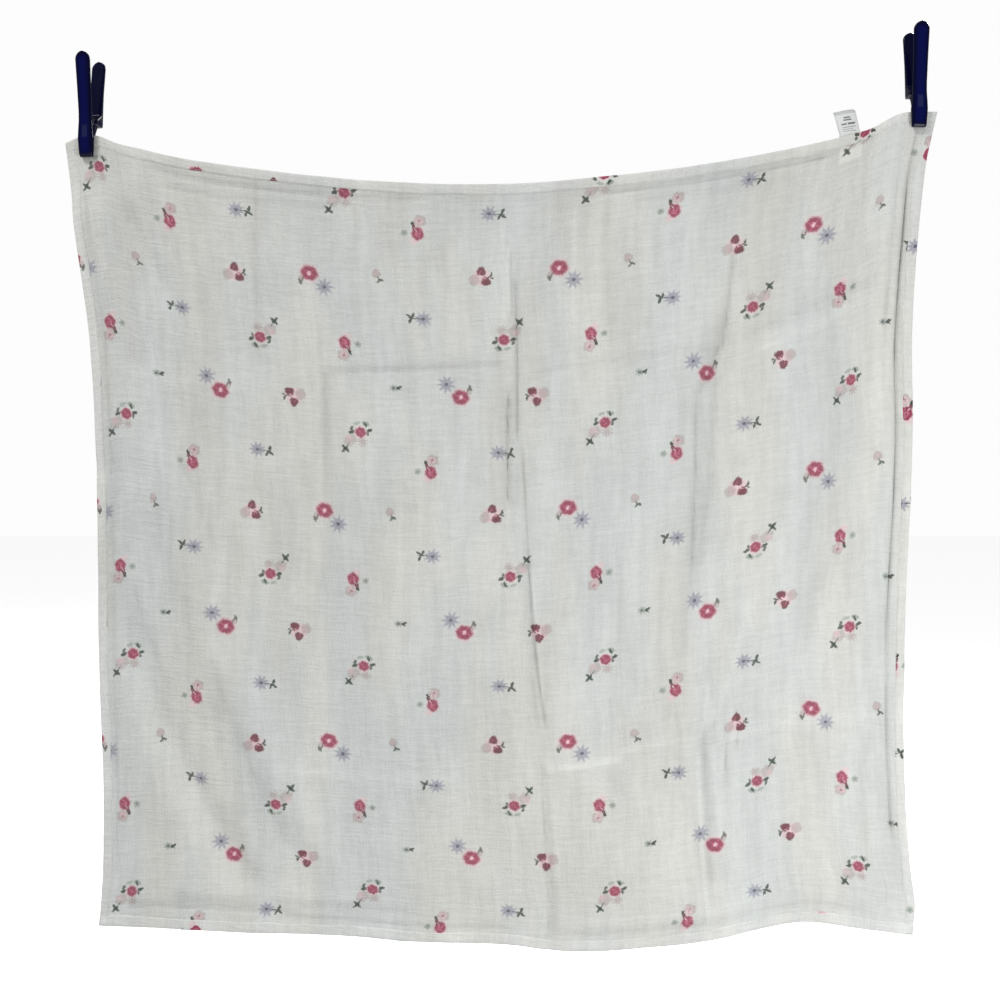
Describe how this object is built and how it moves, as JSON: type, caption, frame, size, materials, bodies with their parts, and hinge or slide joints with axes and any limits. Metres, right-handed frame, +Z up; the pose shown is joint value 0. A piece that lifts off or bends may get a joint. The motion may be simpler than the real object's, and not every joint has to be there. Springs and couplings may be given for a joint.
{
  "type": "swaddle blanket with two hanging clips",
  "caption": "Square floral cotton gauze swaddle blanket hanging by its top corners from navy plastic spring clips, its top edge sagging.",
  "frame": {"origin": "midway between the upper ends of the two clips, on the line that they hang from", "axes": "+X to the viewer's right along the blanket's width, +Y away from the viewer, +Z up"},
  "size_m": [1.1872, 0.0479, 1.2567],
  "materials": {
    "cotton_gauze": "off-white crinkled double gauze with a sparse floral print",
    "label_ribbon": "white satin ribbon with plain grey bars",
    "navy_plastic": "glossy moulded plastic",
    "spring_steel": "drawn wire"
  },
  "bodies": {
    "root": {"blanket_cloth": "cotton_gauze", "care_label": "label_ribbon", "clip_left_front_lever": "navy_plastic", "clip_left_back_lever": "navy_plastic", "clip_left_spring": "spring_steel", "clip_right_front_lever": "navy_plastic", "clip_right_back_lever": "navy_plastic", "clip_right_spring": "spring_steel"}
  },
  "joints": []
}
